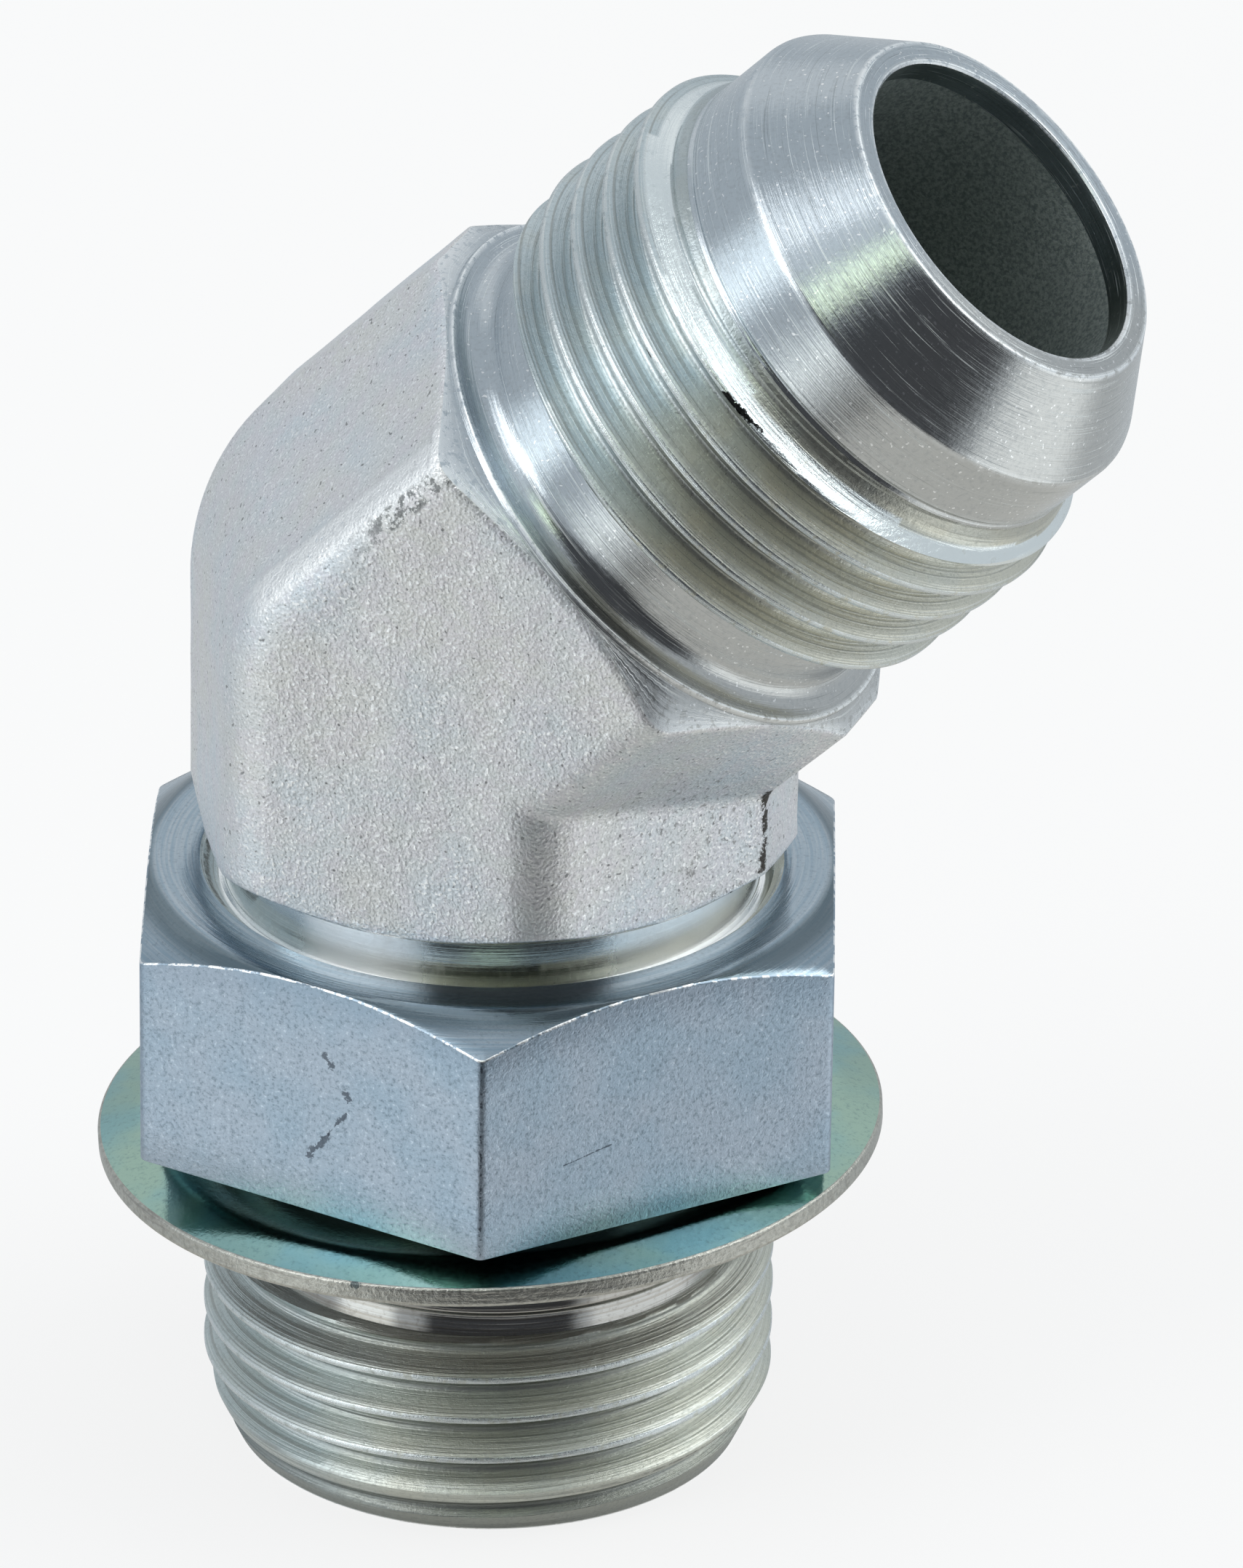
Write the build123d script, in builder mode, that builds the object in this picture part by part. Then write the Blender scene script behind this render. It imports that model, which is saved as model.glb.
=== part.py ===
"""Forty-five degree elbow fitting with an adjustable stud end and a 37 degree flare end.

Lengths are in millimetres. The origin is the centre of the stud's end face, +Z runs up the
stud, and the arm leans from +Z towards +X in the XZ plane.
"""

import os
from math import cos, radians, sin, tan

from build123d import *

# Clearance of a cutting shape past the solid that it cuts
cutter_overrun = 1.0

# Threads: both ends carry the same inch thread, drawn here at its outside diameter
thread_diameter = 26.99
thread_pitch = 2.117
thread_depth_ratio = 0.6134
flank_angle = 30.0
groove_undercut = 0.30
seat_step = 0.15

# Flow passage and bend
passage_wall = 5.695
bend_angle = 45.0
outer_bend_radius = 14.0
drill_point_angle = 118.0
bore_edge_break = 0.35

# Forged hexagon body
hexagon_sides = 6
body_flat_allowance = 0.01
body_corner_radius = 3.5
trim_band_width = 4.4
body_chamfer_angle = 30.0

# Stud end, from its end face upwards
stud_thread_length = 9.3
stud_lead_depth = 1.395
stud_lead_length = 3.0
seal_groove_length = 1.1
washer_seat_length = 7.0
upper_thread_length = 10.35
neck_length = 2.65
neck_depth = 0.995
body_face_to_centre = 10.6

# Flare end, from its mouth back to the shoulder, and the shoulder's reach from the bend's centre
flare_angle = 37.0
flare_nose_width = 1.1
flare_land_depth = 1.495
flare_land_length = 3.6
flare_thread_length = 8.6
relief_floor_length = 2.018
shoulder_fillet = 1.2
shoulder_reach = 12.25
shoulder_rim_height = 0.35
shoulder_rim_inset = 0.10

# Locknut
nut_wall = 2.505
nut_height = 11.67
nut_chamfer_angle = 30.0
nut_backoff = 1.96
nut_corner_bearing = -70.05
nut_countersink_depth = 0.655
thread_running_clearance = 0.05

# Retaining washer, tipped on its seat
washer_width = 6.05
washer_thickness = 1.15
washer_play = 0.40
washer_tilt = 2.8
washer_gap = 1.75

# Sizes that follow from the ones above
thread_radius = thread_diameter / 2
root_radius = thread_radius - thread_depth_ratio * thread_pitch
groove_radius = root_radius - groove_undercut
groove_flank_length = (thread_radius - groove_radius) * tan(radians(flank_angle))
seat_radius = groove_radius + seat_step
stud_end_radius = thread_radius - stud_lead_depth
neck_radius = thread_radius - neck_depth
bore_radius = thread_radius - passage_wall

groove_z = stud_thread_length
groove_floor_z = groove_z + groove_flank_length
seat_z = groove_floor_z + seal_groove_length
upper_thread_z = seat_z + washer_seat_length
collar_z = upper_thread_z + upper_thread_length
body_z = collar_z + neck_length
centre_z = body_z + body_face_to_centre

land_radius = thread_radius - flare_land_depth
nose_radius = bore_radius + flare_nose_width
relief_back = shoulder_reach + shoulder_fillet
relief_front = relief_back + relief_floor_length
thread_back = relief_front + groove_flank_length
thread_front = thread_back + flare_thread_length
lead_front = thread_front + flare_land_depth
land_front = lead_front + flare_land_length
mouth_reach = land_front + (land_radius - nose_radius) / tan(radians(flare_angle))

arm_direction = (sin(radians(bend_angle)), 0, cos(radians(bend_angle)))
bend_centre = (0, 0, centre_z)
arm_base = Plane(origin=bend_centre, x_dir=(0, 1, 0), z_dir=arm_direction)

hexagon_half_angle = radians(180 / hexagon_sides)
body_apothem = thread_radius + body_flat_allowance / 2
body_corner_reach = body_apothem / cos(hexagon_half_angle)
trim_band_reach = body_corner_reach - trim_band_width / 2 * tan(hexagon_half_angle)
rim_radius = body_apothem - shoulder_rim_inset
rim_back = shoulder_reach - shoulder_rim_height
chamfer_reach = body_corner_reach + cutter_overrun
chamfer_height = (chamfer_reach - body_apothem) * tan(radians(body_chamfer_angle))
bend_pivot_offset = trim_band_reach - outer_bend_radius
bend_pivot_rise = bend_pivot_offset * tan(radians(bend_angle / 2))
bend_pivot = (-bend_pivot_offset, 0, centre_z + bend_pivot_rise)

nut_top_z = body_z - nut_backoff
nut_bottom_z = nut_top_z - nut_height
washer_top_z = nut_bottom_z - washer_gap
nut_apothem = nut_wall + thread_radius
nut_corner_reach = nut_apothem / cos(hexagon_half_angle)
nut_corner_drop = (nut_corner_reach - nut_apothem) * tan(radians(nut_chamfer_angle))
nut_bore_radius = thread_radius + thread_running_clearance
countersink_radius = nut_bore_radius + nut_countersink_depth
washer_bore_radius = seat_radius + washer_play


def turned_section(plane):
    """The half plane through a turned end's axis: local x is the radius, local y the station."""
    return Plane(origin=plane.origin, x_dir=plane.x_dir, z_dir=plane.x_dir.cross(plane.z_dir))


stud_half = turned_section(Plane.XY)
arm_half = turned_section(arm_base)

# Elbow body: one forging, with both ends turned from it and the passage drilled through
with BuildSketch(Plane.XY) as body_section:
    RegularPolygon(radius=body_apothem, side_count=hexagon_sides, major_radius=False)
    side_corners = body_section.vertices().filter_by(lambda corner: abs(corner.Y) > body_apothem / 2)
    fillet(side_corners, radius=body_corner_radius)
    Rectangle(2 * trim_band_reach, 2 * body_apothem, mode=Mode.INTERSECT)

with BuildPart() as elbow_body:
    # Both legs of the hexagon run on past the bend's centre, which leaves the inner corner sharp
    with BuildSketch(Plane.XY.offset(body_z)):
        add(body_section.sketch)
    extrude(amount=centre_z + bend_pivot_rise - body_z)
    arm_section_plane = Plane(
        origin=arm_base.from_local_coords((0, 0, -bend_pivot_rise)),
        x_dir=(cos(radians(bend_angle)), 0, -sin(radians(bend_angle))),
        z_dir=arm_direction,
    )
    with BuildSketch(arm_section_plane):
        add(body_section.sketch)
    extrude(amount=bend_pivot_rise + shoulder_reach)

    # The heel turns about a pivot inside the section, so the front and back stay flat
    with BuildSketch(Plane.XY.offset(centre_z + bend_pivot_rise)):
        add(body_section.sketch)
        with Locations((-bend_pivot_offset, 0)):
            Rectangle(
                2 * body_corner_reach,
                2 * body_corner_reach,
                align=(Align.MAX, Align.CENTER),
                mode=Mode.INTERSECT,
            )
    revolve(axis=Axis(bend_pivot, (0, 1, 0)), revolution_arc=bend_angle)

    # Both ends of the hexagon have their corners taken off in the lathe
    with BuildSketch(arm_half):
        with BuildLine():
            Polyline(
                (body_apothem, shoulder_reach),
                (body_apothem, rim_back),
                (chamfer_reach, rim_back - chamfer_height),
                (chamfer_reach, shoulder_reach),
                close=True,
            )
        make_face()
    revolve(axis=Axis(bend_centre, arm_direction), mode=Mode.SUBTRACT)
    with BuildSketch(stud_half):
        with BuildLine():
            Polyline(
                (body_apothem, body_z),
                (chamfer_reach, body_z + chamfer_height),
                (chamfer_reach, body_z),
                close=True,
            )
        make_face()
    revolve(axis=Axis.Z, mode=Mode.SUBTRACT)

    # Stud end: port thread, seal groove, washer seat, locknut thread and neck
    with BuildSketch(stud_half):
        with BuildLine():
            Polyline(
                (0, 0),
                (stud_end_radius, 0),
                (thread_radius, stud_lead_length),
                (thread_radius, groove_z),
                (groove_radius, groove_floor_z),
                (groove_radius, seat_z),
                (seat_radius, seat_z + seat_step),
                (seat_radius, upper_thread_z),
                (thread_radius, upper_thread_z + thread_radius - seat_radius),
                (thread_radius, collar_z),
                (neck_radius, collar_z),
                (neck_radius, body_z),
                (0, body_z),
                close=True,
            )
        make_face()
    revolve(axis=Axis.Z)

    # Flare end: shoulder rim, relief, thread, lead, land and 37 degree seat
    with BuildSketch(arm_half):
        with BuildLine():
            Polyline(
                (0, mouth_reach),
                (nose_radius, mouth_reach),
                (land_radius, land_front),
                (land_radius, lead_front),
                (thread_radius, thread_front),
                (thread_radius, thread_back),
                (groove_radius, relief_front),
                (groove_radius, relief_back),
            )
            RadiusArc(
                (groove_radius, relief_back),
                (groove_radius + shoulder_fillet, shoulder_reach),
                shoulder_fillet,
            )
            Polyline(
                (groove_radius + shoulder_fillet, shoulder_reach),
                (rim_radius, shoulder_reach),
                (rim_radius, rim_back),
                (0, rim_back),
                (0, mouth_reach),
            )
        make_face()
    revolve(axis=Axis(bend_centre, arm_direction))

    # Passage: drilled from both ends until the drills meet at the bend's centre
    drill_point = bore_radius / tan(radians(drill_point_angle / 2))
    with BuildSketch(stud_half):
        with BuildLine():
            Polyline(
                (0, 0),
                (bore_radius, 0),
                (bore_radius, centre_z),
                (0, centre_z + drill_point),
                close=True,
            )
        make_face()
    revolve(axis=Axis.Z, mode=Mode.SUBTRACT)
    with BuildSketch(arm_half):
        with BuildLine():
            Polyline(
                (0, mouth_reach),
                (bore_radius + bore_edge_break, mouth_reach),
                (bore_radius, mouth_reach - bore_edge_break),
                (bore_radius, 0),
                (0, -drill_point),
                close=True,
            )
        make_face()
    revolve(axis=Axis(bend_centre, arm_direction), mode=Mode.SUBTRACT)

elbow_body.part.label = "elbow_body"

# Locknut: a hexagon with a turned top chamfer, a flat bearing face and countersunk thread
with BuildPart() as locknut:
    with BuildSketch(Plane.XY.offset(nut_bottom_z)):
        RegularPolygon(
            radius=nut_apothem,
            side_count=hexagon_sides,
            major_radius=False,
            rotation=nut_corner_bearing,
        )
    extrude(amount=nut_height)
    with BuildSketch(stud_half):
        with BuildLine():
            Polyline(
                (0, nut_bottom_z),
                (nut_corner_reach, nut_bottom_z),
                (nut_corner_reach, nut_top_z - nut_corner_drop),
                (nut_apothem, nut_top_z),
                (0, nut_top_z),
                close=True,
            )
        make_face()
    revolve(axis=Axis.Z, mode=Mode.INTERSECT)
    with BuildSketch(stud_half):
        with BuildLine():
            Polyline(
                (0, nut_bottom_z),
                (countersink_radius, nut_bottom_z),
                (nut_bore_radius, nut_bottom_z + nut_countersink_depth),
                (nut_bore_radius, nut_top_z - nut_countersink_depth),
                (countersink_radius, nut_top_z),
                (0, nut_top_z),
                close=True,
            )
        make_face()
    revolve(axis=Axis.Z, mode=Mode.SUBTRACT)

locknut.part.label = "locknut"

# Retaining washer: a thin flat ring, captive on its seat and tipped up towards the arm
washer_plane = Plane(
    origin=(0, 0, washer_top_z),
    x_dir=(cos(radians(washer_tilt)), 0, sin(radians(washer_tilt))),
    z_dir=(-sin(radians(washer_tilt)), 0, cos(radians(washer_tilt))),
)
with BuildPart() as retaining_washer:
    with BuildSketch(washer_plane):
        Circle(washer_bore_radius + washer_width)
        Circle(washer_bore_radius, mode=Mode.SUBTRACT)
    extrude(amount=-washer_thickness)

retaining_washer.part.label = "retaining_washer"

os.makedirs("parts", exist_ok=True)
export_step(elbow_body.part, "parts/elbow_body.step")
export_step(locknut.part, "parts/locknut.step")
export_step(retaining_washer.part, "parts/retaining_washer.step")
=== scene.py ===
"""Looks of the forty-five degree elbow fitting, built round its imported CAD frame."""

import math

import bpy
import numpy as np
from mathutils import Matrix, Vector, noise


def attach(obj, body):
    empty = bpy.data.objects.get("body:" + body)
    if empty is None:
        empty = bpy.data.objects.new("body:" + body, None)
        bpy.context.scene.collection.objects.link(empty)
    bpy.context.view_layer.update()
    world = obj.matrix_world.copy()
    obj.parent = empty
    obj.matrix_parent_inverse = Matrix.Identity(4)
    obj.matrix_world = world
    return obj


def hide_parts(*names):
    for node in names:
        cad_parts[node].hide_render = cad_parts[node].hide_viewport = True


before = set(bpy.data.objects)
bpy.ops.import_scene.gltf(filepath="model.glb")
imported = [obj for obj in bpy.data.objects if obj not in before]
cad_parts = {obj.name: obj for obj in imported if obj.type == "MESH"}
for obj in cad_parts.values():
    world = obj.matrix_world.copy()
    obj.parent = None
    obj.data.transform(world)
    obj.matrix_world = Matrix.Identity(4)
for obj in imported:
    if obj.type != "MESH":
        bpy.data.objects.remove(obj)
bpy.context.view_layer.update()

MM = 0.001
TAU = 2 * math.pi

# Sizes of the CAD source, in millimetres
THREAD_R = 13.495
PITCH = 2.117
ROOT_R = THREAD_R - 0.6134 * PITCH
GROOVE_R = ROOT_R - 0.30
SEAT_R = GROOVE_R + 0.15
FLANK = math.tan(math.radians(30))
BORE_R = 7.8
NECK_R = 12.5
GROOVE_Z = 9.3
FLOOR_Z = GROOVE_Z + (THREAD_R - GROOVE_R) * FLANK
SEAT_Z = FLOOR_Z + 1.1
UPPER_Z = SEAT_Z + 7.0
COLLAR_Z = UPPER_Z + 10.35
BODY_Z = COLLAR_Z + 2.65
CENTRE_Z = BODY_Z + 10.6
APOTHEM = 13.5
CORNER_R = APOTHEM / math.cos(math.pi / 6)
BAND_HALF = 2.2
BAND_X = CORNER_R - BAND_HALF * FLANK
PIVOT = BAND_X - 14.0
DRILL_DEPTH = BORE_R / math.tan(math.radians(59))
STUD_END_R = 12.1
LEAD_START_R = STUD_END_R + 0.0465
LEAD_START_Z = 0.1
LEAD_TOP_Z = 3.0
SHOULDER_S = 12.25
SHOULDER_FILLET = 1.2
RIM_S = SHOULDER_S - 0.35
RIM_R = APOTHEM - 0.10
RELIEF_S = 15.468
THREAD_BACK_S = RELIEF_S + (THREAD_R - GROOVE_R) * FLANK
THREAD_FRONT_S = THREAD_BACK_S + 8.6
LAND_R = 12.0
LEAD_S = THREAD_FRONT_S + THREAD_R - LAND_R
LAND_S = LEAD_S + 3.6
MOUTH_R = 8.9
CONE_SLOPE = math.tan(math.radians(37))
MOUTH_S = LAND_S + (LAND_R - MOUTH_R) / CONE_SLOPE
NUT_TOP = BODY_Z - 1.96
NUT_BOTTOM = NUT_TOP - 11.67
NUT_A = 16.0
NUT_BEARING = math.radians(-70.05)
WASHER_TOP = NUT_BOTTOM - 1.75
WASHER_THICK = 1.15
WASHER_HOLE_R = SEAT_R + 0.40
WASHER_R = WASHER_HOLE_R + 6.05
WASHER_TILT = math.radians(2.8)
HALF = math.sqrt(0.5)
ARM = np.array([HALF, 0, HALF])
ARM_X = np.array([HALF, 0, -HALF])
BEND_TAN = math.tan(math.pi / 8)

# Forms that only the scene has, in millimetres
LEG_ROUND = 3.5
ARM_ROUND = 1.8
BAND_BLEND = 0.10
INNER_FILLET = 1.3
COLLAR_CHAMFER = 0.55
FACET_R = 12.5
NUT_SINK_R = 13.65
NUT_ROUND = 0.45
NUT_BEVEL = 0.12
NUT_MINOR_R = 12.64
NUT_MAJOR_R = 13.62
NUT_CLEARANCE = 0.06
DISH_R = WASHER_R - 2.1
DISH_SLOPE = math.radians(15)


def fillet_line(points, radii, step=20.0):
    """A 2-D polyline with its corners rounded by these radii."""
    out = []
    last = len(points) - 1
    for i, (p, r) in enumerate(zip(points, radii)):
        p = np.array(p, float)
        if r <= 0 or i in (0, last):
            out.append(tuple(p))
            continue
        a = np.array(points[i - 1], float) - p
        b = np.array(points[i + 1], float) - p
        la, lb = np.linalg.norm(a), np.linalg.norm(b)
        a, b = a / la, b / lb
        half = math.acos(max(-1, min(1, a @ b))) / 2
        cut = min(r / math.tan(half), 0.45 * la, 0.45 * lb)
        r = cut * math.tan(half)
        centre = p + (a + b) / np.linalg.norm(a + b) * r / math.sin(half)
        u, v = p + a * cut - centre, p + b * cut - centre
        turn = math.pi - 2 * half
        n = max(1, int(math.ceil(math.degrees(turn) / step)))
        for k in range(n + 1):
            t = k / n
            w = (u * math.sin((1 - t) * turn) + v * math.sin(t * turn)) / math.sin(turn)
            out.append(tuple(centre + w))
    return out


class Skin:
    """Collects vertices, faces, material numbers and the lathe coordinates of one mesh."""

    def __init__(self):
        self.co, self.faces, self.mats, self.lathe, self.form = [], [], [], [], []

    def add(self, p, travel, phi, form=(0.0, 0.0, 0.0)):
        """One vertex; form holds what its material reads, such as a thread's height, side and facet."""
        self.co.append(p)
        self.lathe.append((travel, math.cos(phi), math.sin(phi)))
        self.form.append(form)
        return len(self.co) - 1

    def ring(self, points, travel, phis, edge=0.0):
        return [self.add(p, travel, f, (0.0, 0.0, edge)) for p, f in zip(points, phis)]

    def quad(self, a, b, c, d, mat):
        face = []
        for v in (a, b, c, d):
            if v not in face:
                face.append(v)
        if len(face) > 2:
            self.faces.append(face)
            self.mats.append(mat)

    def bridge(self, lower, upper, mat):
        n = len(lower)
        for i in range(n):
            j = (i + 1) % n
            self.quad(lower[i], lower[j], upper[j], upper[i], mat)

    def build(self, name, materials, sharp=38.0):
        mesh = bpy.data.meshes.new(name)
        mesh.from_pydata((np.array(self.co) * MM).tolist(), [], self.faces)
        mesh.polygons.foreach_set("material_index", self.mats)
        mesh.polygons.foreach_set("use_smooth", [True] * len(self.faces))
        lathe = mesh.attributes.new("lathe", "FLOAT_VECTOR", "POINT")
        lathe.data.foreach_set("vector", np.array(self.lathe, np.float32).ravel())
        form = mesh.attributes.new("form", "FLOAT_VECTOR", "POINT")
        form.data.foreach_set("vector", np.array(self.form, np.float32).ravel())
        for m in materials:
            mesh.materials.append(m)
        mesh.update()
        mesh.set_sharp_from_angle(angle=math.radians(sharp))
        obj = bpy.data.objects.new(name, mesh)
        bpy.context.scene.collection.objects.link(obj)
        return obj


def stud_point(r, phi, z):
    return (r * math.cos(phi), r * math.sin(phi), z)


def arm_point(r, phi, s):
    p = np.array([0, 0, CENTRE_Z]) + s * ARM + r * math.cos(phi) * ARM_X
    return (p[0], r * math.sin(phi), p[2])


# One pitch of the external thread: axial place from the crest's middle, and radius
CREST_HALF = 0.155
CREST_BLEND = 0.16
TOUCH = 1e-4
THREAD_PROFILE = [
    (-CREST_HALF, THREAD_R - 0.035),
    (-0.105, THREAD_R - 0.002),
    (0.0, THREAD_R),
    (0.105, THREAD_R - 0.002),
    (CREST_HALF, THREAD_R - 0.035),
    (0.38, THREAD_R - 0.425),
    (0.62, THREAD_R - 0.84),
    (0.78, THREAD_R - 1.105),
    (0.88, THREAD_R - 1.215),
    (0.97, THREAD_R - 1.265),
    (1.0585, ROOT_R + 0.02),
    (1.147, THREAD_R - 1.265),
    (1.237, THREAD_R - 1.215),
    (1.337, THREAD_R - 1.105),
    (1.497, THREAD_R - 0.84),
    (1.737, THREAD_R - 0.425),
]
COARSE_PROFILE = THREAD_PROFILE[::2]

# Crests' places at phi 0, read in the photograph
STUD_CREST = 4.45 + PITCH * 69.5 / 360
ARM_CREST = THREAD_FRONT_S + PITCH * 96.1 / 360


def thread_place(w):
    """A distance from any crest, as the place within one pitch that starts at a crest."""
    return (w + CREST_HALF) % PITCH - CREST_HALF


def thread_radius_at(w):
    """Radius of the external thread at this axial distance from a crest."""
    xs = [p[0] for p in THREAD_PROFILE] + [PITCH - CREST_HALF]
    rs = [p[1] for p in THREAD_PROFILE] + [THREAD_PROFILE[0][1]]
    return float(np.interp(thread_place(w), xs, rs))


def thread_form(w, r, shine):
    """What the thread's material reads: height above the root, side of the crest, and facet."""
    place = thread_place(w)
    side = 1.0 if place < PITCH / 2 else -1.0
    if abs(place) < CREST_BLEND:
        side = place / CREST_BLEND
    height = max(0.0, min(1.0, (r - ROOT_R) / (THREAD_R - ROOT_R)))
    return height, side, shine


def thread_band(skin, point, phis, span, crest0, profile, limit, ends, mat, travel0, facet=(0, 0)):
    """A helical thread between two rings.

    crest0 is a crest's place at phi 0, limit(r, z) trims the thread, and it shines between
    the two stations of facet.
    """
    z0, z1 = span
    xs = [p[0] for p in profile]
    first = int(math.floor((z0 - PITCH - crest0) / PITCH)) - 1
    last = int(math.ceil((z1 - crest0) / PITCH)) + 1
    stations = [crest0 + k * PITCH + x for k in range(first, last + 1) for x in xs]
    rows = []
    for w in stations:
        row = []
        for i, phi in enumerate(phis):
            z = w + PITCH * phi / TAU
            if z <= z0 + TOUCH:
                row.append(ends[0][i])
            elif z >= z1 - TOUCH:
                row.append(ends[1][i])
            else:
                r = limit(thread_radius_at(w - crest0), z)
                shine = 1.0 if facet[0] < z < facet[1] else 0.0
                form = thread_form(w - crest0, r, shine)
                row.append(skin.add(point(r, phi, z), travel0 + z, phi, form))
        rows.append(row)
    n, per = len(phis), len(xs)
    for a in range(len(rows) - 1):
        for i in range(n - 1):
            skin.quad(rows[a][i], rows[a][i + 1], rows[a + 1][i + 1], rows[a + 1][i], mat)
        b = a + per
        if b + 1 < len(rows):
            skin.quad(rows[a][n - 1], rows[b][0], rows[b + 1][0], rows[a + 1][n - 1], mat)


def corner_wear(line, i):
    """How sharply a turned profile turns outward at one of its points, from 0 to 1."""
    if i in (0, len(line) - 1):
        return 0.0
    a = (line[i][0] - line[i - 1][0], line[i][1] - line[i - 1][1])
    b = (line[i + 1][0] - line[i][0], line[i + 1][1] - line[i][1])
    turn = math.degrees(math.atan2(a[0] * b[1] - a[1] * b[0], a[0] * b[0] + a[1] * b[1]))
    return max(0.0, min(1.0, turn / 12))


def with_edge_rings(line, gap=0.16):
    """The same profile with a point close to each end of its long straight stretches."""
    out = [line[0]]
    for a, b in zip(line, line[1:]):
        length = math.hypot(b[0] - a[0], b[1] - a[1])
        if length > 3 * gap:
            for t in (gap / length, 1 - gap / length):
                out.append((a[0] + (b[0] - a[0]) * t, a[1] + (b[1] - a[1]) * t))
        out.append(b)
    return out


def lathe_rings(skin, point, line, phis, travel0, worn=1.0):
    """Rings of a turned profile: line holds (radius, station), worn says how bright its edges are."""
    line = with_edge_rings(line)
    rings, travel = [], travel0
    for i, (r, z) in enumerate(line):
        if i:
            travel += math.hypot(r - line[i - 1][0], z - line[i - 1][1])
        rings.append(skin.ring([point(r, f, z) for f in phis], travel, phis, worn * corner_wear(line, i)))
    return rings, travel


def bridge_all(skin, rings, mat):
    for a, b in zip(rings, rings[1:]):
        skin.bridge(a, b, mat)


def turn_between(phi, at):
    """Angle from one bearing to another, at most half a turn either way."""
    return (phi - at + math.pi) % TAU - math.pi


EDGE_ANGLE = math.atan2(BAND_HALF, BAND_X)
BAND_EDGES = (EDGE_ANGLE, -EDGE_ANGLE, math.pi - EDGE_ANGLE, math.pi + EDGE_ANGLE)
SIDE_CORNERS = tuple(math.pi / 3 * k for k in (1, 2, 4, 5))
UPPER_CORNERS = (TAU / 3, -TAU / 3)


def leg_angles():
    """Angles round the elbow's legs: even, and closer together at the edges of the trimmed band."""
    angles = set(np.round(np.arange(0, 360, 1.75), 4))
    for base in BAND_EDGES:
        for extra in (-1.6, -0.9, -0.4, 0.0, 0.4, 0.9, 1.6):
            angles.add(round((math.degrees(base) + extra) % 360, 4))
    angles = sorted(angles)
    kept = [angles[0]]
    for a in angles[1:]:
        if a - kept[-1] > 0.3:
            kept.append(a)
    return [math.radians(a) for a in kept]


def hexagon_radius(phi, round_r):
    """Distance from the leg's axis to the forging's section, its side corners and band edges rounded."""
    flats = [math.pi / 2 + math.pi / 3 * k for k in range(6)]
    best = min(APOTHEM / math.cos(phi - at) for at in flats if math.cos(phi - at) > 1e-6)
    centre = (APOTHEM - round_r) / math.cos(math.pi / 6)
    limit = math.atan2(round_r * math.sin(math.pi / 6), centre + round_r * math.cos(math.pi / 6))
    for at in SIDE_CORNERS:
        d = turn_between(phi, at)
        if abs(d) < limit:
            best = centre * math.cos(d) + math.sqrt(round_r ** 2 - (centre * math.sin(d)) ** 2)
    c = abs(math.cos(phi))
    if c > 0.5:
        band = BAND_X / c
        h = max(0.0, min(1.0, 0.5 + 0.5 * (band - best) / (BAND_BLEND * 2)))
        best = band * (1 - h) + best * h - BAND_BLEND * h * (1 - h)
    return best


def closeness(phi, places, width, peak=1.0):
    """The peak on the nearest of these bearings, falling to 0 over a width in degrees."""
    return max(peak * math.exp(-(math.degrees(turn_between(phi, at)) / width) ** 2) for at in places)


PHIS = leg_angles()
CONTOUR = np.array([hexagon_radius(f, LEG_ROUND) for f in PHIS])
ARM_CONTOUR = np.array([hexagon_radius(f, ARM_ROUND) for f in PHIS])
COS = np.cos(PHIS)
SIN = np.sin(PHIS)

# How near each angle is to a corner of the section, and how steeply the arm's shoulder is turned there
CORNER = [max(closeness(f, SIDE_CORNERS, 4.5), closeness(f, BAND_EDGES, 1.2, 0.6)) for f in PHIS]
ARM_SLOPE = np.array([FLANK - 0.21 * closeness(f, UPPER_CORNERS, 18) for f in PHIS])


def ease(t):
    t = max(0.0, min(1.0, t))
    return t * t * (3 - 2 * t)


def leg_section(i, share):
    """The section's point at one angle, changing from the stud's leg to the arm over the way along."""
    blend = ease((share - 0.42) / 0.33)
    reach = CONTOUR[i] * (1 - blend) + ARM_CONTOUR[i] * blend
    return reach * COS[i], reach * SIN[i]


def forging_path(i, z_low, s_high, n_leg, n_arc):
    """One angle's line of points: up the stud's leg, round the bend and along the arm."""
    count = 2 * n_leg + n_arc - 1
    u = leg_section(i, 0)[0]
    r = max(-u - PIVOT, 0.0) if u < 0 else INNER_FILLET * min(1.0, u / 4)
    t = r * BEND_TAN
    out = []
    for k in range(1, count + 1):
        u, v = leg_section(i, k / count)
        corner = CENTRE_Z - u * BEND_TAN
        if k <= n_leg:
            out.append((u, v, z_low + (corner - t - z_low) * k / n_leg))
        elif k < n_leg + n_arc:
            a = math.pi / 4 * (k - n_leg) / n_arc
            out.append((u + r - r * math.cos(a), v, corner - t + r * math.sin(a)))
        else:
            start = u * BEND_TAN + t
            s = start + (s_high - start) * (k - n_leg - n_arc) / n_leg
            p = np.array([0, 0, CENTRE_Z]) + s * ARM + u * ARM_X
            out.append((p[0], v, p[2]))
    return out


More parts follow.
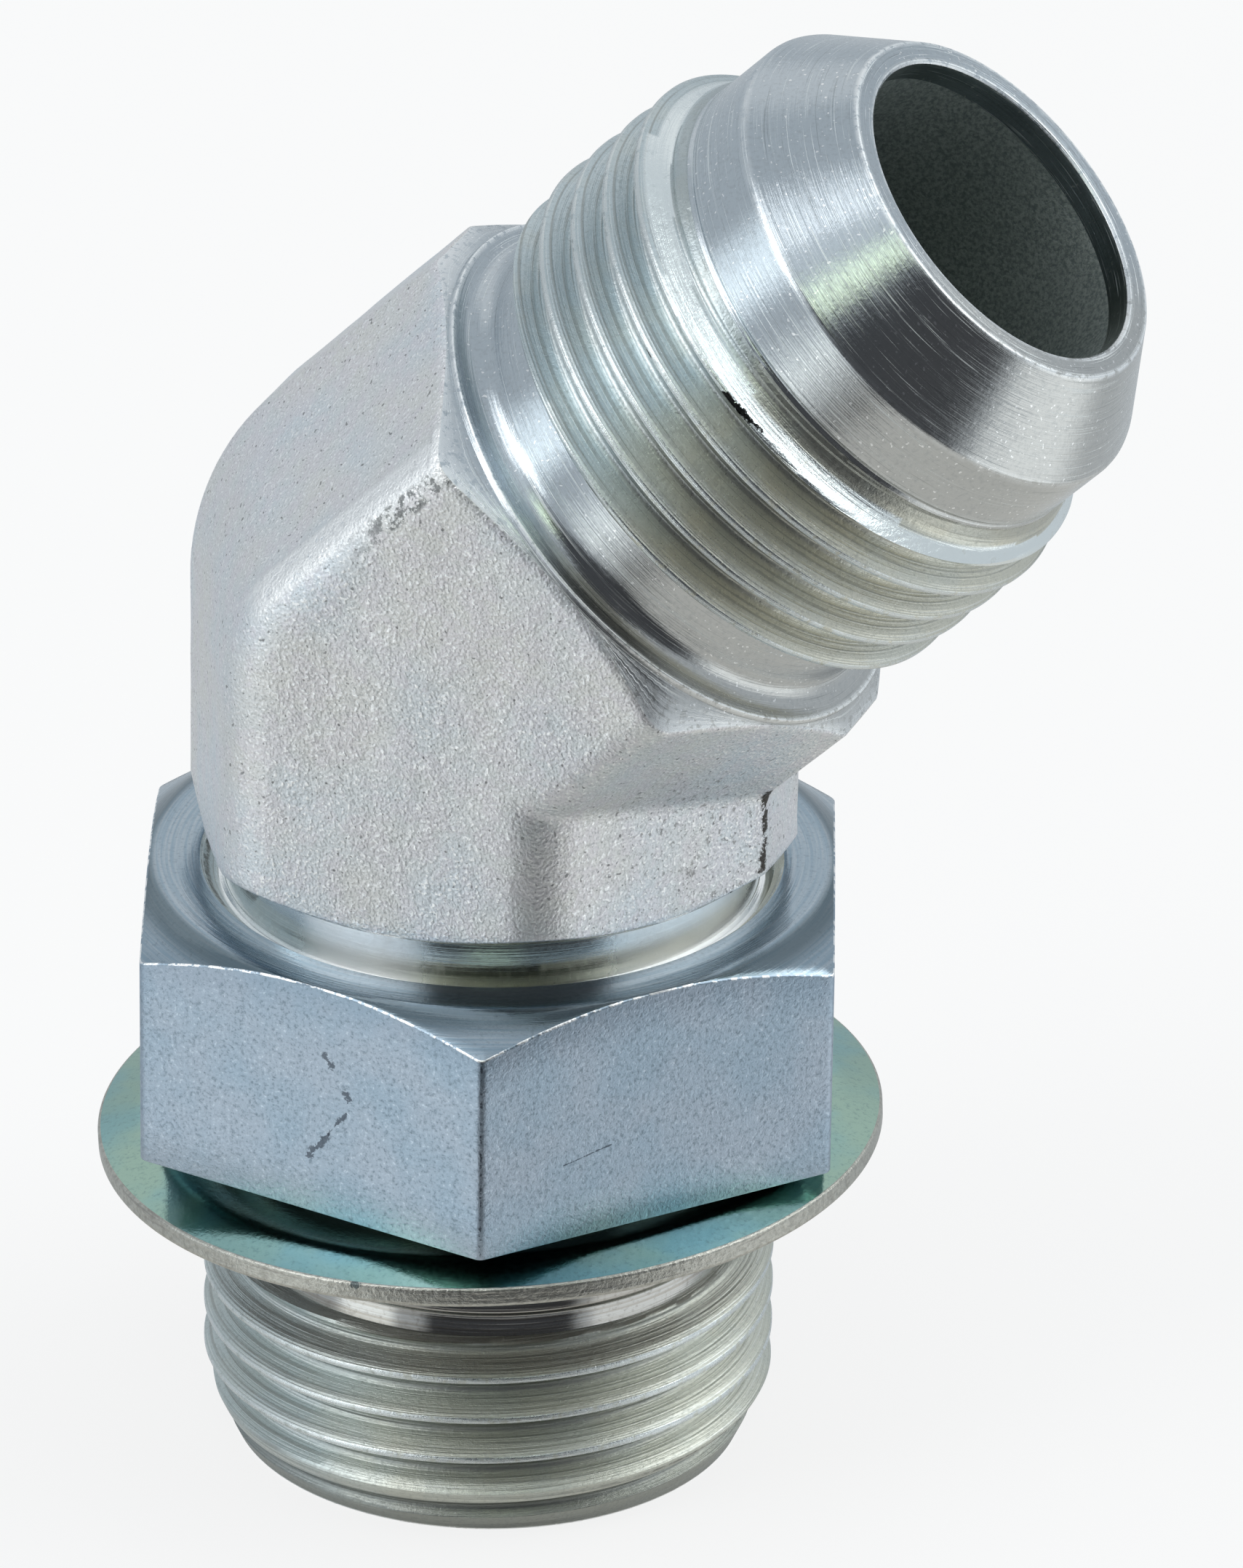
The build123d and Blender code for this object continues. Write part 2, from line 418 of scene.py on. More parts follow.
def forging_skin(skin, ring0, z_low, s_high, ring1, mat):
    """The forged skin between two contour rings, slightly wavy away from its ends."""
    n_leg, n_arc = 24, 16
    count = 2 * n_leg + n_arc - 1
    paths = [forging_path(i, z_low[i], s_high[i], n_leg, n_arc) for i in range(len(PHIS))]
    rings = [ring0]
    for k in range(count):
        fade = min(1.0, k / 5, (count - 1 - k) / 5)
        row = []
        for i, phi in enumerate(PHIS):
            p = Vector(paths[i][k])
            swell = noise.noise(p * 0.22) * 0.05 + noise.noise(p * 0.7) * 0.02
            p += Vector((COS[i] * 0.7, SIN[i], -COS[i] * 0.5)) * (swell - 0.03) * fade
            row.append(skin.add(tuple(p), k * 0.5, phi, (k / count, 0.0, CORNER[i])))
        rings.append(row)
    rings.append(ring1)
    bridge_all(skin, rings, mat)


def passage_point(phi, k):
    """Radius and height of the passage at the bend: k 0 on the mitre plane, k 2 on the plain wall."""
    c = math.cos(phi)
    if c >= 0:
        return BORE_R, -BORE_R * c * BEND_TAN - 0.4 * k
    t = -BORE_R * c * BEND_TAN / (DRILL_DEPTH - BORE_R * c * BEND_TAN)
    t = t * (2 - k) / 2
    return BORE_R * (1 - t), DRILL_DEPTH * t


def trim_line(knots):
    """A limit that keeps a radius inside a line of (station, radius) knots."""
    zs = [k[0] for k in knots]
    rs = [k[1] for k in knots]
    return lambda r, z: min(r, float(np.interp(z, zs, rs)))


def contour_ring(skin, point, rs, zs, travel, form=(0.0, 0.0, 0.0)):
    """A ring round a leg whose radius and station may change with the angle."""
    rs = np.broadcast_to(rs, len(PHIS))
    zs = np.broadcast_to(zs, len(PHIS))
    return [skin.add(point(r, f, z), travel, f, form) for r, f, z in zip(rs, PHIS, zs)]


def stud_passage(skin, inside):
    """The passage from the mitre plane down to the stud's end; gives its first and last ring."""
    rings = []
    for k in (0, 1, 2):
        ring = []
        for f in PHIS:
            r, h = passage_point(f, k)
            ring.append(skin.add(stud_point(r, f, CENTRE_Z + h), 0.4 * k, f))
        rings.append(ring)
    for z in (36, 30, 22, 14, 7, 2):
        rings.append(contour_ring(skin, stud_point, BORE_R, z, 42 - z))
    bridge_all(skin, rings, inside)
    return rings[0], rings[-1]


def stud_end(skin, low_bore, turned, thread, groove):
    """End face, lead, port thread, seal groove and washer seat; gives the seat's upper ring."""
    line = fillet_line(
        [(BORE_R, 2), (BORE_R, 0), (STUD_END_R, 0), (LEAD_START_R, LEAD_START_Z)],
        [0, 0.12, 0.15, 0])
    rings, _ = lathe_rings(skin, stud_point, line[1:], PHIS, 100)
    bridge_all(skin, [low_bore] + rings, turned)
    start = rings[-1]
    line = fillet_line(
        [(GROOVE_R, FLOOR_Z - 0.02), (GROOVE_R, FLOOR_Z), (GROOVE_R, SEAT_Z), (SEAT_R, SEAT_Z + 0.15),
         (SEAT_R, UPPER_Z), (SEAT_R + 0.03, UPPER_Z + 0.03)],
        [0, 0, 0.25, 0.2, 0.2, 0])
    rings, _ = lathe_rings(skin, stud_point, line, PHIS, 112)
    limit = trim_line([
        (LEAD_START_Z, LEAD_START_R), (LEAD_TOP_Z, THREAD_R), (GROOVE_Z - 0.12, THREAD_R),
        (GROOVE_Z + 0.08, THREAD_R - 0.12), (FLOOR_Z, GROOVE_R)])
    thread_band(skin, stud_point, PHIS, (LEAD_START_Z, FLOOR_Z - 0.02), STUD_CREST, THREAD_PROFILE,
                limit, (start, rings[0]), thread, 100)
    bridge_all(skin, rings, groove)
    return rings[-1]


def upper_thread(skin, seat, thread, plain):
    """The locknut's thread, the collar's chamfer and the neck; gives the ring under the hexagon."""
    line = fillet_line(
        [(THREAD_R, COLLAR_Z - COLLAR_CHAMFER), (NECK_R + 0.25, COLLAR_Z), (NECK_R, COLLAR_Z + 0.02),
         (NECK_R, BODY_Z), (NECK_R + 0.4, BODY_Z)],
        [0, 0.1, 0.05, 0.15, 0])
    top = contour_ring(skin, stud_point, THREAD_R - 0.08, COLLAR_Z - 0.5, 130, (0, 0, 1))
    rings, _ = lathe_rings(skin, stud_point, line[1:], PHIS, 131)
    trim = trim_line([
        (UPPER_Z + 0.03, SEAT_R + 0.03), (UPPER_Z + THREAD_R - SEAT_R, THREAD_R),
        (COLLAR_Z - 0.6, THREAD_R), (COLLAR_Z - 0.5, THREAD_R - 0.08)])

    def limit(r, z):
        runout = max(0.0, min(1.0, (z - (COLLAR_Z - 2.2)) / 1.4))
        return trim(max(r, ROOT_R + (THREAD_R - ROOT_R) * runout), z)

    thread_band(skin, stud_point, PHIS, (UPPER_Z + 0.03, COLLAR_Z - 0.5), STUD_CREST, COARSE_PROFILE,
                limit, (seat, top), thread, 120)
    bridge_all(skin, [top] + rings, plain)
    return rings[-1]


def hexagon(skin, below, turned, forged):
    """The hexagon's lathe-cut lower end and its forged skin; gives the ring at the arm's chamfer."""
    reach = np.minimum(CONTOUR, APOTHEM)
    z_low = BODY_Z + 0.12 + np.maximum(0, CONTOUR - APOTHEM) * FLANK
    s_high = RIM_S - np.maximum(0, ARM_CONTOUR - APOTHEM) * ARM_SLOPE - 0.05
    face = contour_ring(skin, stud_point, reach - 0.10, BODY_Z, 140)
    edge = contour_ring(skin, stud_point, reach, BODY_Z + 0.06, 140.1)
    low = contour_ring(skin, stud_point, CONTOUR - 0.04, z_low - 0.03, 141, (0, 0, 0.8))
    start = contour_ring(skin, stud_point, CONTOUR, z_low + 0.06, 141, (0, 0, 0.4))
    bridge_all(skin, [below, face, edge, low], turned)
    skin.bridge(low, start, forged)
    end = contour_ring(skin, arm_point, ARM_CONTOUR, s_high - 0.10, 150, (1, 0, 0.5))
    high = contour_ring(skin, arm_point, ARM_CONTOUR - 0.07, s_high, 150, (1, 0, 0.8))
    forging_skin(skin, start, z_low + 0.06, s_high - 0.10, end, forged)
    skin.bridge(end, high, forged)
    return high


def arm_shoulder(skin, high, turned):
    """The arm's chamfer cone, rim, shoulder face, fillet and relief; gives the relief's last ring."""
    rim = contour_ring(skin, arm_point, np.minimum(ARM_CONTOUR, APOTHEM) - 0.08, RIM_S, 151)
    bridge_all(skin, [high, rim], turned)
    centre_r = GROOVE_R + SHOULDER_FILLET
    centre_s = SHOULDER_S + SHOULDER_FILLET
    line = fillet_line(
        [(RIM_R, RIM_S + 0.03), (RIM_R, SHOULDER_S), (centre_r + 0.02, SHOULDER_S)],
        [0, 0.08, 0])
    for a in np.linspace(0, math.pi / 2, 8):
        line.append((centre_r - SHOULDER_FILLET * math.sin(a), centre_s - SHOULDER_FILLET * math.cos(a)))
    line += [(GROOVE_R, RELIEF_S - 0.5), (GROOVE_R, RELIEF_S + 0.02)]
    rings, _ = lathe_rings(skin, arm_point, line, PHIS, 152)
    bridge_all(skin, [rim] + rings, turned)
    return rings[-1]


def flare_end(skin, relief, turned, inside, thread):
    """Thread, lead, land, cone and mouth; gives the ring inside the mouth."""
    cone = (MOUTH_R + 1.5, MOUTH_S - 1.5 / CONE_SLOPE)
    line = fillet_line(
        [(LAND_R + 0.02, LEAD_S - 0.02), (LAND_R - 0.02, LEAD_S + 0.08), (LAND_R - 0.10, LEAD_S + 0.2),
         (LAND_R, LEAD_S + 0.36), (LAND_R, LAND_S), cone],
        [0, 0.05, 0.08, 0.08, 0.45, 0])
    rings, travel = lathe_rings(skin, arm_point, line, PHIS, 180, 0.30)
    line = fillet_line(
        [cone, (MOUTH_R, MOUTH_S), (BORE_R + 0.12, MOUTH_S), (BORE_R, MOUTH_S - 0.12),
         (BORE_R, MOUTH_S - 1.5)],
        [0, 0.14, 0.06, 0.06, 0])
    mouth, _ = lathe_rings(skin, arm_point, line, PHIS, travel)
    rings += mouth[1:]
    limit = trim_line([
        (RELIEF_S, GROOVE_R), (THREAD_BACK_S - 0.08, THREAD_R - 0.12), (THREAD_BACK_S + 0.12, THREAD_R),
        (THREAD_FRONT_S - 0.06, THREAD_R), (THREAD_FRONT_S + 0.06, THREAD_R - 0.09),
        (THREAD_FRONT_S + 0.59, FACET_R), (LEAD_S, LAND_R)])
    thread_band(skin, arm_point, PHIS, (RELIEF_S + 0.02, LEAD_S - 0.02), ARM_CREST, THREAD_PROFILE,
                limit, (relief, rings[0]), thread, 160, (THREAD_FRONT_S - 0.02, THREAD_FRONT_S + 0.62))
    bridge_all(skin, rings[:-1], turned)
    skin.bridge(rings[-2], rings[-1], inside)
    return rings[-1]


def arm_passage(skin, mouth, mitre, inside):
    """The passage from the mouth back to the mitre plane, mirrored from the stud's side."""
    rings = [mouth]
    for s in (28, 22, 16, 10, 6):
        rings.append(contour_ring(skin, arm_point, BORE_R, s, 200 + s))
    for k in (2, 1):
        ring = []
        for f in PHIS:
            r, h = passage_point(f, k)
            ring.append(skin.add(arm_point(r, f, -h), 200, f))
        rings.append(ring)
    bridge_all(skin, rings + [mitre], inside)


def build_elbow(skin, mats):
    """The whole elbow, one closed skin from the passage round both ends and back."""
    turned, forged, inside, thread, plain, groove = mats
    mitre, low_bore = stud_passage(skin, inside)
    seat = stud_end(skin, low_bore, turned, thread, groove)
    below = upper_thread(skin, seat, thread, plain)
    high = hexagon(skin, below, turned, forged)
    relief = arm_shoulder(skin, high, turned)
    mouth = flare_end(skin, relief, turned, inside, thread)
    arm_passage(skin, mouth, mitre, inside)


def hex_ring_angles(bearing):
    out = set()
    for k in range(6):
        base = math.degrees(bearing) + 60 * k
        for d in np.linspace(-27, 27, 19):
            out.add(round((base + 30 + d) % 360, 4))
        for d in (-1.8, -1.2, -0.8, -0.45, -0.15, 0.15, 0.45, 0.8, 1.2, 1.8):
            out.add(round((base + d) % 360, 4))
    return [math.radians(a) for a in sorted(out)]


def hex_radius(phi, bearing, apothem, round_r):
    d = ((phi - bearing) % (math.pi / 3))
    d = min(d, math.pi / 3 - d)
    centre = (apothem - round_r) / math.cos(math.pi / 6)
    limit = math.atan2(round_r * 0.5, centre + round_r * math.cos(math.pi / 6))
    if d < limit:
        return centre * math.cos(d) + math.sqrt(max(0, round_r ** 2 - (centre * math.sin(d)) ** 2))
    return apothem / math.cos(math.pi / 6 - d)


def build_locknut(skin, mats):
    """The locknut, from its lower countersink round the outside to the upper one, then its thread."""
    side, lathe, bore, arris_mat = mats
    phis = hex_ring_angles(NUT_BEARING)
    rad = np.array([hex_radius(f, NUT_BEARING, NUT_A, NUT_ROUND) for f in phis])

    def ring(rs, zs, travel):
        rs = np.broadcast_to(rs, len(phis))
        zs = np.broadcast_to(zs, len(phis))
        return [skin.add(stud_point(r, f, z), travel, f) for r, f, z in zip(rs, phis, zs)]

    lower = [
        ring(NUT_SINK_R - 0.06, NUT_BOTTOM + 0.07, 0),
        ring(NUT_SINK_R + 0.04, NUT_BOTTOM, 0.1),
        ring(15.0, NUT_BOTTOM, 1.0),
        ring(rad - NUT_BEVEL, NUT_BOTTOM, 2.0),
        ring(rad - NUT_BEVEL * 0.3, NUT_BOTTOM + NUT_BEVEL * 0.3, 2.1),
        ring(rad, NUT_BOTTOM + NUT_BEVEL, 2.2),
    ]
    bridge_all(skin, lower[:4], lathe)
    bridge_all(skin, lower[3:], side)

    wall_top = NUT_TOP - (rad - NUT_A) * FLANK
    walls = [lower[-1]]
    for t in (0.2, 0.4, 0.6, 0.8):
        rise = (wall_top - 0.08 - NUT_BOTTOM - NUT_BEVEL) * t
        walls.append(ring(rad, NUT_BOTTOM + NUT_BEVEL + rise, 3 + 8 * t))
    walls.append(ring(rad, wall_top - 0.07, 12))
    bridge_all(skin, walls, side)

    brow_r = rad - 0.07
    arris = ring(rad - 0.02, wall_top - 0.015, 12.1)
    brow = ring(brow_r, NUT_TOP - np.maximum(0, brow_r - NUT_A) * FLANK, 12.2)
    bridge_all(skin, [walls[-1], arris, brow], arris_mat)
    cone = [brow]
    for t in (0.33, 0.66, 1.0):
        r = brow_r + (np.minimum(brow_r, NUT_A - 0.05) - brow_r) * t
        cone.append(ring(r, NUT_TOP - np.maximum(0, r - NUT_A) * FLANK, 12.2 + (1 - t)))
    bridge_all(skin, cone, lathe)
    tops = [cone[-1]]
    for r in (15.5, 14.9, NUT_SINK_R + 0.08):
        tops.append(ring(r, NUT_TOP, 20 - r))
    tops.append(ring(NUT_SINK_R - 0.02, NUT_TOP - 0.05, 20 - NUT_SINK_R))
    bridge_all(skin, tops, lathe)

    # Internal thread: the stud's own helix with clearance, between the two countersinks
    def limit(r, z):
        body = max(NUT_MINOR_R, min(r + NUT_CLEARANCE, NUT_MAJOR_R))
        depth = min(z - NUT_BOTTOM, NUT_TOP - z)
        return max(body, NUT_SINK_R - depth)

    thread_band(skin, stud_point, phis, (NUT_BOTTOM + 0.07, NUT_TOP - 0.05), STUD_CREST, COARSE_PROFILE,
                limit, (lower[0], tops[-1]), bore, 30)


def build_washer(skin, mats):
    """The retaining washer, its outer zone rolled down a little."""
    face, rim, shade_under = mats
    phis = [math.radians(a) for a in np.arange(0, 360, 1.5)]
    xa = np.array([math.cos(WASHER_TILT), 0, math.sin(WASHER_TILT)])
    za = np.array([-math.sin(WASHER_TILT), 0, math.cos(WASHER_TILT)])
    base = np.array([0, 0, WASHER_TOP])

    def point(r, phi, h):
        p = base + r * math.cos(phi) * xa + h * za
        return (p[0], r * math.sin(phi), p[2])

    thick = WASHER_THICK - 0.1
    rise = (WASHER_R - DISH_R) * math.tan(DISH_SLOPE)
    line = fillet_line(
        [(WASHER_HOLE_R + 1.5, rise - thick), (WASHER_HOLE_R, rise - thick), (WASHER_HOLE_R, rise),
         (DISH_R, rise), (WASHER_R, 0), (WASHER_R, -thick), (DISH_R, rise - thick),
         (WASHER_HOLE_R + 1.5, rise - thick)],
        [0, 0.12, 0.12, 3.0, 0.18, 0.28, 2.0, 0], step=4)
    dense = []
    for a, b in zip(line, line[1:]):
        dense.append(a)
        parts = int(math.hypot(b[0] - a[0], b[1] - a[1]) / 0.8) + 1
        for k in range(1, parts):
            dense.append((a[0] + (b[0] - a[0]) * k / parts, a[1] + (b[1] - a[1]) * k / parts))
    dense = with_edge_rings(dense)
    rings, _ = lathe_rings(skin, point, dense, phis, 0)
    # Top face, rim, and the underside and hole with their painted shade.
    for k, (a, b) in enumerate(zip(rings, rings[1:] + rings[:1])):
        r0, h0 = dense[k]
        r1 = dense[(k + 1) % len(dense)][0]
        middle = rise - thick / 2 - max(0, r0 - DISH_R) * math.tan(DISH_SLOPE)
        if min(r0, r1) > WASHER_R - 0.15:
            mat = rim
        elif r1 > r0 and h0 > middle:
            mat = face
        else:
            mat = shade_under
        skin.bridge(a, b, mat)


# Materials: each maker gives a colour, a roughness and a normal

WHITE = (1.0, 1.0, 1.0)
MM_PER_UNIT = 1000.0
MIX_INPUT_A = 6
MIX_INPUT_B = 7
MIX_RESULT = 2

class Nodes:
    """Short ways to add shader nodes."""

    def __init__(self, tree):
        self.tree = tree
        self.tree.nodes.clear()

    def new(self, kind, **settings):
        node = self.tree.nodes.new(kind)
        for key, value in settings.items():
            setattr(node, key, value)
        return node

    def link(self, source, target):
        self.tree.links.new(source, target)

    def put(self, socket, value):
        if isinstance(value, bpy.types.NodeSocket):
            self.link(value, socket)
        else:
            socket.default_value = value

    def math(self, op, a, b=0.0, c=0.0, clamp=False):
        node = self.new("ShaderNodeMath", operation=op, use_clamp=clamp)
        for i, v in enumerate((a, b, c)):
            self.put(node.inputs[i], v)
        return node.outputs[0]

    def vec(self, op, a, b=None, scale=None):
        node = self.new("ShaderNodeVectorMath", operation=op)
        self.put(node.inputs[0], a)
        if b is not None:
            self.put(node.inputs[1], b)
        if scale is not None:
            self.put(node.inputs["Scale"], scale)
        return node.outputs["Value"] if op in ("DOT_PRODUCT", "LENGTH", "DISTANCE") else node.outputs[0]

    def combine(self, x, y, z):
        node = self.new("ShaderNodeCombineXYZ")
        for i, v in enumerate((x, y, z)):
            self.put(node.inputs[i], v)
        return node.outputs[0]

    def separate(self, v):
        node = self.new("ShaderNodeSeparateXYZ")
        self.put(node.inputs[0], v)
        return node.outputs

    def noise(self, vector, scale, detail=2.0, rough=0.5, lacunarity=2.0):
        node = self.new("ShaderNodeTexNoise")
        self.put(node.inputs["Vector"], vector)
        node.inputs["Scale"].default_value = scale
        node.inputs["Detail"].default_value = detail
        node.inputs["Roughness"].default_value = rough
        node.inputs["Lacunarity"].default_value = lacunarity
        return node.outputs[0]

    def ramp(self, value, a, b, low=0.0, high=1.0, smooth=True):
        node = self.new("ShaderNodeMapRange", interpolation_type="SMOOTHSTEP" if smooth else "LINEAR")
        self.put(node.inputs["Value"], value)
        for key, v in (("From Min", a), ("From Max", b), ("To Min", low), ("To Max", high)):
            self.put(node.inputs[key], v)
        return node.outputs[0]

    def times(self, *values):
        total = values[0]
        for v in values[1:]:
            total = self.math("MULTIPLY", total, v)
        return total

    def mix(self, fac, a, b, blend="MIX"):
        node = self.new("ShaderNodeMix", data_type="RGBA", blend_type=blend)
        self.put(node.inputs["Factor"], fac)
        for key, v in ((MIX_INPUT_A, a), (MIX_INPUT_B, b)):
            self.put(node.inputs[key], (*v, 1) if isinstance(v, tuple) and len(v) == 3 else v)
        return node.outputs[MIX_RESULT]

    def bump(self, height, distance, normal=None):
        node = self.new("ShaderNodeBump")
        self.put(node.inputs["Height"], height)
        node.inputs["Distance"].default_value = distance
        if normal is not None:
            self.link(normal, node.inputs["Normal"])
        return node.outputs[0]

    def attribute(self, name):
        node = self.new("ShaderNodeAttribute", attribute_name=name)
        return self.separate(node.outputs["Vector"])

    def mm(self):
        """Object coordinates in millimetres."""
        coord = self.new("ShaderNodeTexCoord")
        return self.vec("SCALE", coord.outputs["Object"], scale=MM_PER_UNIT)

    def stroke(self, place, a, b, width, ragged):
        """1 along a short mark between two points, its edge broken by a noise."""
        a, b = Vector(a), Vector(b)
        along = b - a
        reach = self.vec("SUBTRACT", place, tuple(a))
        dot = self.vec("DOT_PRODUCT", reach, tuple(along))
        t = self.math("DIVIDE", dot, along.length_squared, clamp=True)
        near = self.vec("LENGTH", self.vec("SUBTRACT", reach, self.vec("SCALE", tuple(along), scale=t)))
        limit = self.math("MULTIPLY", ragged, width)
        return self.ramp(near, self.math("MULTIPLY", limit, 0.6), limit, 1.0, 0.0)


def metal(name, maker, metallic=1.0):
    """A metal whose colour, roughness and normal come from maker."""
    mat = bpy.data.materials.new(name)
    mat.use_nodes = True
    n = Nodes(mat.node_tree)
    out = n.new("ShaderNodeOutputMaterial")
    bsdf = n.new("ShaderNodeBsdfPrincipled")
    n.link(bsdf.outputs[0], out.inputs[0])
    colour, roughness, normal = maker(n)
    n.put(bsdf.inputs["Base Color"], colour)
    n.put(bsdf.inputs["Roughness"], roughness)
    bsdf.inputs["Metallic"].default_value = metallic
    n.link(normal, bsdf.inputs["Normal"])
    return mat


def round_axis(n, spread, along=None):
    """Coordinates that draw a noise out round the axis, along the surface's travel or another length."""
    travel, cs, sn = n.attribute("lathe")
    first = travel if along is None else along
    return n.combine(first, n.math("MULTIPLY", cs, spread), n.math("MULTIPLY", sn, spread))


def lathe_lines(n, scale, detail, spread=0.3):
    """Fine rings round the axis, as a lathe tool leaves them."""
    return n.noise(round_axis(n, spread), scale, detail, 0.65)


def toward(n, degrees):
    """Cosine of the angle round the axis between the place and this bearing."""
    _, cs, sn = n.attribute("lathe")
    at = math.radians(degrees)
    return n.math("ADD", n.math("MULTIPLY", cs, math.cos(at)), n.math("MULTIPLY", sn, math.sin(at)))


def turned_metal(n):
    place = n.mm()
    edge = n.attribute("form")[2]
    fine = lathe_lines(n, 10.0, 4.0, 0.12)
    scratch = lathe_lines(n, 15.0, 2.0, 0.10)
    hair = lathe_lines(n, 24.0, 1.0, 0.05)
    coarse = lathe_lines(n, 2.4, 2.0, 0.10)
    grain = n.noise(place, 5.0, 3.0, 0.6)
    chip = n.noise(place, 6.0, 0.0, 0.5)
    # Painted reflection: the side toward bearing -30 degrees is painted warmer and the other sides bluer.
    warm_reflection_side = n.ramp(toward(n, -30), 0.10, 0.70)
    base = n.mix(warm_reflection_side, (0.55, 0.60, 0.64), (0.575, 0.58, 0.57))
    base = n.mix(n.ramp(grain, 0.45, 0.75, 0.0, 0.35), base, (0.36, 0.38, 0.39))
    lines = n.math("MAXIMUM", n.ramp(scratch, 0.60, 0.70), n.ramp(hair, 0.66, 0.76, 0.0, 0.8))
    base = n.mix(n.math("MULTIPLY", lines, 0.65), base, (0.88, 0.91, 0.91))
    base = n.mix(n.ramp(scratch, 0.37, 0.28, 0.0, 0.55), base, (0.22, 0.24, 0.24))
    base = n.mix(n.ramp(chip, 0.76, 0.80, 0.0, 0.8), base, WHITE)
    worn = n.times(edge, n.ramp(n.noise(place, 2.5, 3.0, 0.7), 0.36, 0.5))
    base = n.mix(worn, base, (0.97, 0.99, 1.0))
    rough = n.math("ADD", n.ramp(fine, 0.3, 0.7, 0.05, 0.11), n.ramp(grain, 0.3, 0.8, 0.0, 0.07))
    rough = n.math("ADD", rough, n.math("MULTIPLY", edge, 0.25))
    rough = n.math("ADD", rough, n.math("MULTIPLY", lines, 0.42))
    normal = n.bump(fine, 0.000016)
    normal = n.bump(coarse, 0.000014, normal)
    normal = n.bump(grain, 0.000006, normal)
    return base, rough, normal


def thread_metal(n):
    place = n.mm()
    height, side, edge = n.attribute("form")
    z = n.separate(place)[2]
    grain = n.noise(place, 5.5, 3.0, 0.75)
    across = n.math("ADD", n.math("MULTIPLY", height, 1.3), n.math("MULTIPLY", side, 0.3))
    lines = n.noise(round_axis(n, 0.10, across), 8.0, 3.0, 0.65)
    broad = n.noise(place, 0.35, 2.0, 0.5)
    stud = n.ramp(z, 24.0, 20.0)
    # Mask for painted shade near the floor, below 2.6 mm.
    low = n.ramp(z, 2.6, 0.4)
    # Painted reflection: the side toward bearing -30 degrees is painted warmer, mixed with a random broad
    # tone.
    warm_reflection_front = n.ramp(toward(n, -30), 0.05, 0.70)
    warm = n.math("ADD", warm_reflection_front, n.ramp(broad, 0.35, 0.65, -0.18, 0.18), clamp=True)
    base = n.mix(warm, (0.60, 0.675, 0.70), (0.70, 0.69, 0.60))
    base = n.mix(n.math("MULTIPLY", stud, 0.4), base, (0.56, 0.60, 0.56))
    base = n.mix(n.ramp(lines, 0.54, 0.66, 0.0, 0.60), base, (0.34, 0.35, 0.33))
    base = n.mix(n.ramp(lines, 0.44, 0.34, 0.0, 0.45), base, (0.95, 0.97, 0.95))
    base = n.mix(n.ramp(grain, 0.50, 0.75, 0.0, 0.45), base, (0.34, 0.36, 0.34))
    # Painted shade: the turns near the floor are painted darker.
    base = n.mix(n.math("MULTIPLY", low, 0.75), base, (0.20, 0.21, 0.20))
    broken = n.noise(place, 1.6, 4.0, 0.7)
    # Painted shade in the thread's root.
    root_shade = n.ramp(height, 0.12, 0.02, 0.0, 0.30)
    base = n.mix(root_shade, base, (0.22, 0.23, 0.22))
    # Painted shadow just below each crest, on its lower flank, broken by a noise.
    shade_under = n.times(n.ramp(side, -0.3, -0.7), n.ramp(height, 0.70, 0.84), n.ramp(height, 0.99, 0.95))
    shade_under = n.times(shade_under, n.ramp(broken, 0.40, 0.55, 0.15, 0.85))
    base = n.mix(shade_under, base, (0.10, 0.10, 0.09))
    crest = n.times(n.ramp(height, 0.955, 0.985), n.ramp(broken, 0.34, 0.50))
    base = n.mix(crest, base, (0.74, 0.78, 0.78))
    facet = n.times(n.ramp(edge, 0.2, 0.8), n.ramp(broken, 0.30, 0.42, 0.6, 1.0))
    base = n.mix(facet, base, (0.90, 0.95, 0.95))
    rough = n.math("ADD", n.ramp(grain, 0.3, 0.7, 0.26, 0.40), n.math("MULTIPLY", stud, 0.10))
    rough = n.math("SUBTRACT", rough, n.math("MULTIPLY", n.math("MAXIMUM", crest, facet), 0.14))
    normal = n.bump(grain, 0.000016)
    normal = n.bump(lines, 0.000045, normal)
    normal = n.bump(broken, 0.000026, normal)
    for a, b, width in THREAD_FLAWS:
        mark = n.stroke(place, a, b, width, n.ramp(n.noise(place, 3.2, 3.0, 0.7), 0.3, 0.7, 0.2, 1.6))
        base = n.mix(mark, base, (0.02, 0.02, 0.02))
    return base, rough, normal


def groove_metal(n):
    """The seal groove and the washer's seat, smooth, a little stained, and darker all over as painted
    shade under the washer.
    """
    place = n.mm()
    fine = lathe_lines(n, 6.0, 3.0, 0.08)
    grain = n.noise(place, 4.0, 3.0, 0.6)
    # Painted shade: the groove and seat get a darker base colour for the shade under the washer; the
    # brown patches are random stains.
    base = n.mix(n.ramp(fine, 0.35, 0.65), (0.36, 0.34, 0.31), (0.50, 0.50, 0.49))
    base = n.mix(n.ramp(grain, 0.5, 0.75, 0.0, 0.5), base, (0.22, 0.20, 0.18))
    return base, n.ramp(grain, 0.3, 0.8, 0.08, 0.16), n.bump(fine, 0.000012)


